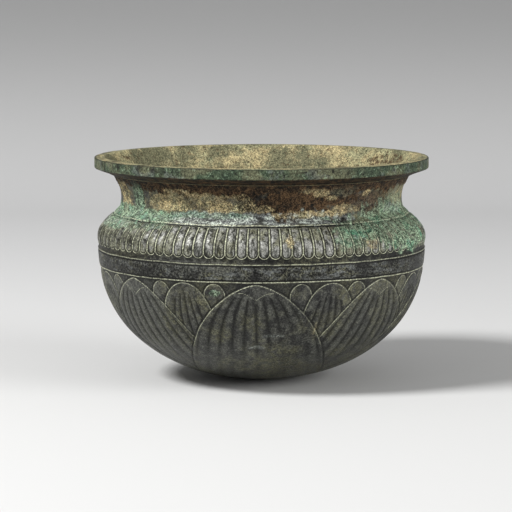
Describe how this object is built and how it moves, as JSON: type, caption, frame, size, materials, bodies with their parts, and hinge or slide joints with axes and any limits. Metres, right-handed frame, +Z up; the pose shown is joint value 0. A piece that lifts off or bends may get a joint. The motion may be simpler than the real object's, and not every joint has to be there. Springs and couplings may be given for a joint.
{
  "type": "bronze bowl",
  "caption": "Deep round-bottomed bronze bowl with a heavy flat rim, concave neck, chased tongues on the shoulder and a lotus calyx.",
  "frame": {"origin": "centre of the flat on the underside, on the bowl's axis, where the bowl rests", "axes": "+Z up along the bowl's axis, -Y towards the front that the picture shows, +X to the right of it"},
  "size_m": [0.15, 0.15, 0.0997],
  "materials": {
    "body_bronze": "patinated, satin where worn",
    "rim_bronze": "patinated, matt",
    "solder": "dull"
  },
  "bodies": {
    "root": {"bowl_body": "body_bronze", "rim_ring": "rim_bronze", "rim_solder": "solder"}
  },
  "joints": []
}
